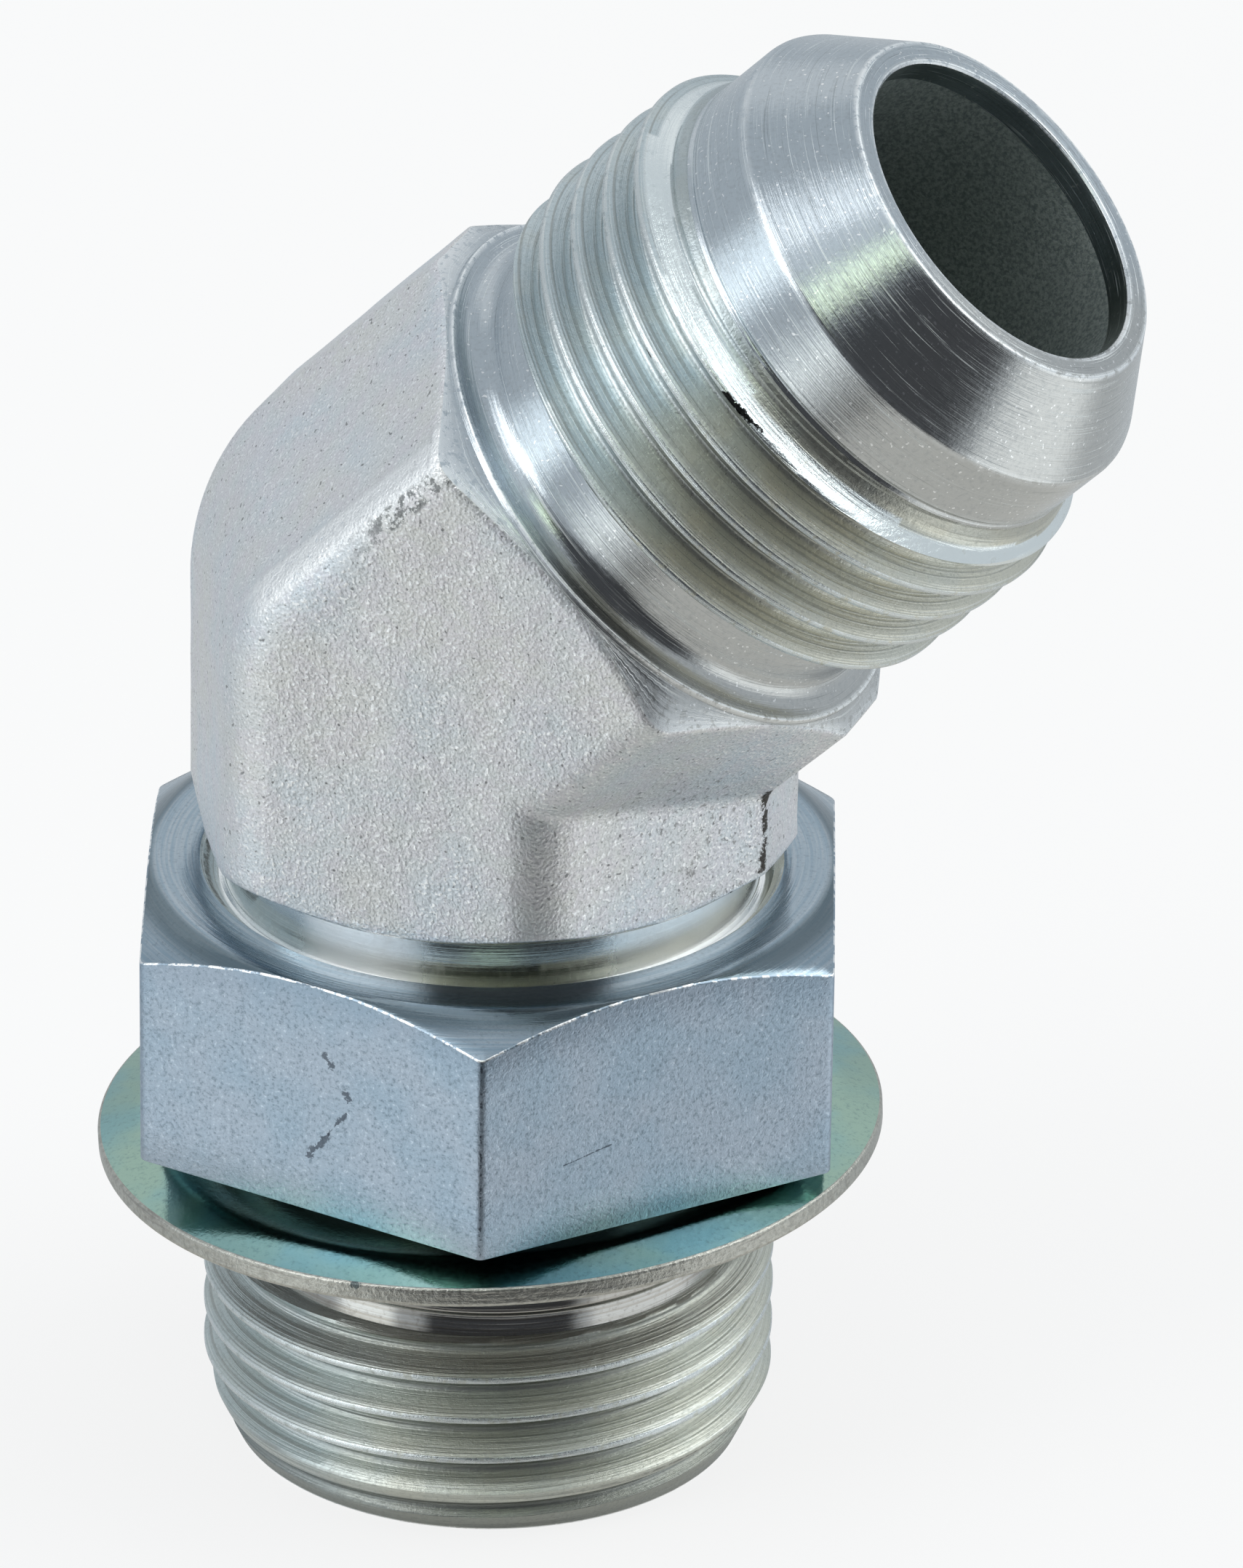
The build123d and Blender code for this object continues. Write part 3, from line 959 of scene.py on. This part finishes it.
def plain_metal(n):
    """The neck and the collar's chamfer, finer than the rest, with painted highlights and a painted dark
    reflection by bearing.
    """
    place = n.mm()
    edge = n.attribute("form")[2]
    fine = lathe_lines(n, 8.0, 3.0, 0.10)
    grain = n.noise(place, 5.0, 3.0, 0.6)
    base = n.mix(n.ramp(fine, 0.35, 0.65), (0.88, 0.92, 0.92), (0.98, 1.0, 0.99))
    # Painted reflections by bearing: highlights toward -98 and -20 degrees (right), a dark reflection
    # toward -66 degrees.
    right = n.ramp(toward(n, -20), 0.87, 0.99, 0.0, 0.8)
    painted_highlight = n.math("MAXIMUM", n.ramp(toward(n, -98), 0.945, 1.0), right)
    base = n.mix(n.ramp(toward(n, -66), 0.90, 1.0, 0.0, 0.65), base, (0.40, 0.41, 0.34))
    base = n.mix(n.ramp(grain, 0.5, 0.8, 0.0, 0.3), base, (0.55, 0.57, 0.56))
    # Painted highlights, together with brighter worn edges.
    base = n.mix(n.math("MAXIMUM", painted_highlight, n.math("MULTIPLY", edge, 0.6)), base, WHITE)
    rough = n.math("ADD", n.ramp(grain, 0.3, 0.8, 0.12, 0.22), n.math("MULTIPLY", painted_highlight, 0.35))
    normal = n.bump(fine, 0.000012)
    return base, rough, n.bump(grain, 0.000006, normal)


def forged_metal(n):
    place = n.mm()
    along, _, edge = n.attribute("form")
    speck = n.noise(place, 8.0, 3.0, 0.65)
    flake = n.noise(place, 6.5, 0.0, 0.5)
    pit = n.noise(n.vec("ADD", place, (40.0, 0.0, 0.0)), 4.6, 0.0, 0.5)
    lump = n.noise(place, 1.6, 3.0, 0.6)
    patch = n.noise(place, 0.8, 2.0, 0.6)
    broad = n.noise(place, 0.14, 2.0, 0.5)
    base = n.mix(n.ramp(broad, 0.35, 0.65), (0.765, 0.81, 0.85), (0.83, 0.82, 0.80))
    base = n.mix(n.ramp(patch, 0.42, 0.60, 0.0, 0.5), base, (0.83, 0.79, 0.83))
    base = n.mix(n.ramp(speck, 0.52, 0.70, 0.0, 0.60), base, (0.42, 0.44, 0.445))
    base = n.mix(n.ramp(speck, 0.45, 0.32, 0.0, 0.5), base, WHITE)
    base = n.mix(n.ramp(pit, 0.76, 0.80, 0.0, 0.7), base, (0.18, 0.18, 0.18))
    spark = n.ramp(flake, 0.67, 0.72)
    base = n.mix(spark, base, WHITE)
    crackle = n.noise(place, 1.9, 5.0, 0.8)
    # Painted highlight: a white crackled line along the arm's corner toward bearing -124 degrees.
    painted_ridge_highlight = n.times(
        n.ramp(toward(n, -124), 0.9958, 0.9984), n.ramp(along, 0.50, 0.60), n.ramp(edge, 0.05, 0.2))
    base = n.mix(n.times(painted_ridge_highlight, n.ramp(crackle, 0.34, 0.46)), base, WHITE)
    shoulder = n.ramp(along, 0.74, 0.88)
    crack = n.times(n.ramp(toward(n, -118.5), 0.9990, 0.9997), shoulder, n.ramp(crackle, 0.52, 0.44), 0.8)
    flecks = n.times(painted_ridge_highlight, shoulder, n.ramp(crackle, 0.31, 0.26), 0.7)
    base = n.mix(n.math("MAXIMUM", crack, flecks), base, (0.16, 0.17, 0.17))
    # Painted shade: a slightly darker strip along the stud leg's corner toward bearing -61.5 degrees.
    band = n.times(
        n.ramp(toward(n, -61.5), 0.9960, 0.9985), n.ramp(along, 0.42, 0.36), n.ramp(lump, 0.30, 0.5))
    base = n.mix(n.math("MULTIPLY", band, 0.15), base, (0.36, 0.39, 0.39))
    for a, b, width in FORGE_MARKS:
        mark = n.stroke(place, a, b, width, n.ramp(crackle, 0.3, 0.65, 0.0, 1.5))
        base = n.mix(mark, base, (0.07, 0.065, 0.06))
    pits = n.ramp(n.noise(place, 2.8, 3.0, 0.7), 0.56, 0.68)
    pitted = n.times(n.stroke(place, PITTED[0], PITTED[1], 4.0, 1.0), pits)
    base = n.mix(n.math("MULTIPLY", pitted, 0.65), base, (0.22, 0.215, 0.21))
    rough = n.ramp(speck, 0.3, 0.6, 0.34, 0.54)
    rough = n.math("SUBTRACT", rough, n.math("MULTIPLY", n.math("MAXIMUM", painted_ridge_highlight, spark), 0.10))
    normal = n.bump(lump, 0.00005)
    normal = n.bump(n.math("MULTIPLY", crackle, painted_ridge_highlight), 0.00008, normal)
    normal = n.bump(speck, 0.000032, normal)
    return base, rough, n.bump(flake, 0.00003, normal)


def nut_metal(n):
    place = n.mm()
    speck = n.noise(place, 5.0, 3.0, 0.7)
    broad = n.noise(place, 0.25, 3.0, 0.5)
    base = n.mix(n.ramp(broad, 0.35, 0.65), (0.38, 0.475, 0.57), (0.43, 0.50, 0.585))
    base = n.mix(n.ramp(speck, 0.5, 0.72, 0.0, 0.65), base, (0.20, 0.26, 0.31))
    base = n.mix(n.ramp(speck, 0.42, 0.27, 0.0, 0.6), base, (0.66, 0.74, 0.82))
    broken = n.noise(place, 2.2, 4.0, 0.75)
    for a, b, width in NUT_MARKS:
        mark = n.stroke(place, a, b, width, n.ramp(broken, 0.35, 0.65, 0.0, 1.6))
        base = n.mix(n.math("MULTIPLY", mark, 0.75), base, (0.05, 0.06, 0.08))
    normal = n.bump(speck, 0.000030)
    return base, n.ramp(speck, 0.3, 0.7, 0.32, 0.42), n.bump(broken, 0.000010, normal)


def nut_arris(n):
    place = n.mm()
    dash = n.noise(place, 1.5, 3.0, 0.7)
    base = n.mix(n.ramp(dash, 0.44, 0.54), (0.34, 0.42, 0.50), WHITE)
    return base, 0.34, n.bump(dash, 0.00006)


def nut_lathe(n):
    place = n.mm()
    x, y, _ = n.separate(place)
    radius = n.math("SQRT", n.math("ADD", n.math("MULTIPLY", x, x), n.math("MULTIPLY", y, y)))
    rings = n.noise(round_axis(n, 0.3, radius), 7.0, 3.0, 0.6)
    speck = n.noise(place, 5.0, 3.0, 0.65)
    base = n.mix(n.ramp(rings, 0.35, 0.65), (0.33, 0.43, 0.51), (0.46, 0.53, 0.59))
    base = n.mix(n.ramp(speck, 0.5, 0.75, 0.0, 0.5), base, (0.22, 0.27, 0.31))
    # Painted dark reflection on the nut's top, in a ring from radius 15.6 to 17.5 mm.
    painted_dark_reflection = n.times(n.ramp(radius, 15.6, 16.1), n.ramp(radius, 17.5, 16.5), 0.72)
    base = n.mix(painted_dark_reflection, base, (0.10, 0.14, 0.16))
    normal = n.bump(rings, 0.000012)
    normal = n.bump(speck, 0.000006, normal)
    return base, n.ramp(speck, 0.3, 0.7, 0.10, 0.20), normal


def dark_bore(n):
    place = n.mm()
    speck = n.noise(place, 5.0, 3.0, 0.75)
    base = n.mix(n.ramp(speck, 0.35, 0.65), (0.22, 0.26, 0.25), (0.44, 0.48, 0.46))
    return base, 0.55, n.bump(speck, 0.00003)


def washer_metal(n):
    place = n.mm()
    speck = n.noise(place, 4.5, 3.0, 0.65)
    broad = n.noise(place, 0.20, 3.0, 0.5)
    base = n.mix(n.ramp(broad, 0.38, 0.62), (0.29, 0.50, 0.50), (0.37, 0.53, 0.44))
    base = n.mix(n.ramp(speck, 0.5, 0.75, 0.0, 0.5), base, (0.17, 0.27, 0.27))
    return base, n.ramp(speck, 0.3, 0.7, 0.10, 0.18), n.bump(speck, 0.000008)


def washer_rim(n):
    place = n.mm()
    speck = n.noise(place, 3.6, 3.0, 0.75)
    lines = lathe_lines(n, 5.0, 3.0, 0.8)
    base = n.mix(n.ramp(speck, 0.35, 0.62), (0.42, 0.41, 0.37), (0.56, 0.55, 0.50))
    base = n.mix(n.ramp(lines, 0.55, 0.7, 0.0, 0.6), base, (0.28, 0.26, 0.24))
    nick = n.stroke(place, WASHER_NICK, WASHER_NICK, 0.30, n.ramp(speck, 0.3, 0.7, 0.5, 1.5))
    base = n.mix(nick, base, (0.14, 0.16, 0.16))
    normal = n.bump(speck, 0.00005)
    return base, 0.36, n.bump(lines, 0.00003, normal)


# Painted shade: the washer's underside and hole get a dark brownish colour for the shade under it.
def washer_shaded_under(n):
    place = n.mm()
    speck = n.noise(place, 3.6, 3.0, 0.75)
    base = n.mix(n.ramp(speck, 0.35, 0.62), (0.12, 0.11, 0.10), (0.26, 0.235, 0.22))
    return base, 0.5, n.bump(speck, 0.00003)


# Places of marks, in millimetres, read in the photograph
THREAD_FLAWS = (
    ((15.9, -13.30, 61.15), (18.6, -13.45, 59.2), 0.19),
    ((11.3, -11.90, 62.40), (12.0, -12.26, 61.85), 0.12),
    ((15.6, -13.3, 57.6), (17.0, -13.4, 56.4), 0.08),
)
FORGE_MARKS = (
    ((14.30, -2.25, 36.6), (14.40, -2.10, 34.2), 0.30),
    ((14.40, -2.10, 34.2), (14.25, -2.35, 32.3), 0.28),
    ((13.31, -3.95, 31.70), (13.31, -3.95, 31.70), 0.22),
    ((-5.3, -13.5, 47.6), (-4.9, -13.5, 47.7), 0.22),
    ((-7.3, -13.4, 43.6), (-7.5, -13.4, 42.8), 0.20),
    ((3.6, -13.5, 55.6), (5.4, -13.5, 54.9), 0.22),
)
PITTED = ((11.4, -7.3, 37.3), (13.6, -3.4, 33.2))
NUT_MARKS = (
    ((-2.01, -15.89, 26.0), (-1.55, -15.97, 25.5), 0.20),
    ((-0.80, -16.10, 24.3), (-0.72, -16.12, 24.0), 0.24),
    ((-0.84, -16.10, 23.3), (-1.75, -15.94, 22.0), 0.13),
    ((-1.75, -15.94, 22.0), (-2.80, -15.76, 20.6), 0.20),
    ((9.10, -14.05, 21.6), (10.70, -12.13, 22.1), 0.05),
    # Not a mark: a painted dark reflection down the nut's front corner, its whole height.
    ((6.305, -17.367, 17.8), (6.305, -17.367, 28.0), 0.085),
)
WASHER_NICK = (0.55, -18.45, 15.93)

mat_turned = metal("turned_plating", turned_metal)
mat_forged = metal("forged_skin", forged_metal)
mat_bore = metal("passage_wall", dark_bore, 0.7)
mat_thread = metal("thread_plating", thread_metal)
mat_plain = metal("neck_plating", plain_metal)
mat_groove = metal("groove_plating", groove_metal)
mat_nut = metal("nut_flats", nut_metal)
mat_nut_lathe = metal("nut_turned", nut_lathe)
mat_arris = metal("nut_arris", nut_arris)
mat_washer = metal("washer_plating", washer_metal)
mat_rim = metal("washer_rim", washer_rim)
mat_shaded_under = metal("washer_underside_shade", washer_shaded_under)

skin = Skin()
build_elbow(skin, (0, 1, 2, 3, 4, 5))
elbow_materials = [mat_turned, mat_forged, mat_bore, mat_thread, mat_plain, mat_groove]
elbow = skin.build("elbow_body_dressed", elbow_materials)
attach(elbow, "elbow")
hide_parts("elbow_body")

skin = Skin()
build_locknut(skin, (0, 1, 2, 3))
nut = skin.build("locknut_dressed", [mat_nut, mat_nut_lathe, mat_thread, mat_arris])
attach(nut, "locknut")
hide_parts("locknut")

skin = Skin()
build_washer(skin, (0, 1, 2))
washer = skin.build("retaining_washer_dressed", [mat_washer, mat_rim, mat_shaded_under])
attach(washer, "washer")
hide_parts("retaining_washer")

for obj in (elbow, nut, washer):
    print(obj.name, len(obj.data.vertices), sum(len(p.vertices) - 2 for p in obj.data.polygons))

# Floor
bpy.ops.mesh.primitive_plane_add(size=6.0, location=(0, 0, -0.00002))
floor = bpy.context.object
floor.name = "floor"
mat = bpy.data.materials.new("floor_paper")
mat.use_nodes = True
n = Nodes(mat.node_tree)
out = n.new("ShaderNodeOutputMaterial")
paper = n.new("ShaderNodeBsdfDiffuse")
paper.inputs["Color"].default_value = (0.82, 0.82, 0.82, 1)
glow = n.new("ShaderNodeEmission")
glow.inputs["Color"].default_value = (1, 1, 1, 1)
glow.inputs["Strength"].default_value = 1.0
path = n.new("ShaderNodeLightPath")
blend = n.new("ShaderNodeMixShader")
n.link(n.math("MULTIPLY", path.outputs["Is Camera Ray"], 0.80), blend.inputs[0])
n.link(paper.outputs[0], blend.inputs[1])
n.link(glow.outputs[0], blend.inputs[2])
n.link(blend.outputs[0], out.inputs[0])
floor.data.materials.append(mat)
floor.visible_glossy = False

# World: a pale studio painted by direction, with bright windows and two dark ones in front on the right
world = bpy.data.worlds.new("studio")
bpy.context.scene.world = world
world.use_nodes = True
n = Nodes(world.node_tree)
coord = n.new("ShaderNodeTexCoord")
x, y, z = n.separate(n.vec("NORMALIZE", coord.outputs["Generated"]))
azimuth = n.math("DEGREES", n.math("ARCTAN2", x, n.math("MULTIPLY", y, -1.0)))
elevation = n.math("DEGREES", n.math("ARCSINE", z))


def window(az, el, soft):
    """1 inside a box of directions in degrees, fading over its soft margins: left, right, low, high."""
    sides = (
        n.ramp(azimuth, az[0] - soft[0], az[0]),
        n.ramp(azimuth, az[1], az[1] + soft[1], 1.0, 0.0),
        n.ramp(elevation, el[0] - soft[2], el[0]),
        n.ramp(elevation, el[1], el[1] + soft[3], 1.0, 0.0),
    )
    return n.times(*sides)


LIGHTS = (
    # azimuth, elevation, soft margins, radiance
    ((-30, 30), (55, 75), (30, 20, 14, 14), (0.80, 0.86, 0.90)),
    ((-200, -128), (28, 46), (1, 14, 10, 10), (0.74, 0.77, 0.79)),
    ((13, 30), (40, 49), (6, 5, 3, 5), (1.70, 1.95, 1.50)),
    ((-66, -50), (2, 12), (14, 10, 8, 10), (1.42, 1.54, 1.60)),
    ((-45, -27), (-33, -20), (10, 8, 8, 8), (1.50, 1.58, 1.58)),
    ((-45, -28), (18, 38), (8, 8, 8, 8), (2.9, 3.0, 3.0)),
    ((84, 136), (24, 56), (8, 12, 8, 10), (2.2, 2.3, 2.3)),
    ((74, 116), (-35, -20), (8, 24, 8, 8), (1.12, 1.17, 1.18)),
    ((-4, 67), (-15, 37), (8, 16, 5, 3), (0.075, 0.08, 0.088)),
    ((-4, 58), (-35, -15), (8, 8, 3, 5), (0.06, 0.064, 0.07)),
)
shade = n.mix(n.ramp(elevation, -50, -20), (0.62, 0.63, 0.61), (0.54, 0.585, 0.62))
for az, el, soft, value in LIGHTS:
    shade = n.mix(window(az, el, soft), shade, value)
back = n.new("ShaderNodeBackground")
n.link(shade, back.inputs["Color"])
back.inputs["Strength"].default_value = 1.0
white = n.new("ShaderNodeBackground")
white.inputs["Color"].default_value = (1, 1, 1, 1)
white.inputs["Strength"].default_value = 1.0
path = n.new("ShaderNodeLightPath")
blend = n.new("ShaderNodeMixShader")
out = n.new("ShaderNodeOutputWorld")
n.link(path.outputs["Is Camera Ray"], blend.inputs[0])
n.link(back.outputs[0], blend.inputs[1])
n.link(white.outputs[0], blend.inputs[2])
n.link(blend.outputs[0], out.inputs[0])

# Soft key lamp, above the camera and to its left
lamp = bpy.data.lights.new("key", "AREA")
lamp.shape = "RECTANGLE"
lamp.size = 0.5
lamp.size_y = 0.5
lamp.energy = 1.1
key = bpy.data.objects.new("key", lamp)
bpy.context.scene.collection.objects.link(key)
key.location = (-0.35, -0.45, 0.75)
key.rotation_mode = "QUATERNION"
key.rotation_quaternion = (Vector((0, 0, 0.03)) - key.location).to_track_quat("-Z", "Y")

# Camera at the photograph's place, fitted to the hexagon, the threads' rings and the washer
ELEVATION = 0.458131475
ROLL = 0.0140900431
YAW = math.radians(20.5)
FOCAL_PX = 16510.4
PHOTO_HEIGHT_PX = 2156
SENSOR = 36
DISTANCE = 560.544
OFFSET_RIGHT = 6.048
OFFSET_UP = 4.4736
AIM_Z = 27.95
right = np.array([1.0, 0, 0])
forward = np.array([0, math.cos(ELEVATION), -math.sin(ELEVATION)])
up = np.array([0, math.sin(ELEVATION), math.cos(ELEVATION)])
right, up = math.cos(ROLL) * right + math.sin(ROLL) * up, -math.sin(ROLL) * right + math.cos(ROLL) * up


def yawed(v):
    x = math.cos(YAW) * v[0] - math.sin(YAW) * v[1]
    y = math.sin(YAW) * v[0] + math.cos(YAW) * v[1]
    return np.array([x, y, v[2]])


place = yawed(right * OFFSET_RIGHT + up * OFFSET_UP - forward * DISTANCE) + np.array([0, 0, AIM_Z])
right, up, forward = yawed(right), yawed(up), yawed(forward)
cam = bpy.data.cameras.new("camera")
cam.lens = FOCAL_PX / PHOTO_HEIGHT_PX * SENSOR
cam.sensor_width = SENSOR
cam.clip_start = 0.01
cam.clip_end = 20
camera = bpy.data.objects.new("camera", cam)
bpy.context.scene.collection.objects.link(camera)
camera.matrix_world = Matrix((
    (right[0], up[0], -forward[0], place[0] * MM),
    (right[1], up[1], -forward[1], place[1] * MM),
    (right[2], up[2], -forward[2], place[2] * MM),
    (0, 0, 0, 1),
))
bpy.context.scene.camera = camera

bpy.context.scene.view_settings.view_transform = "Standard"
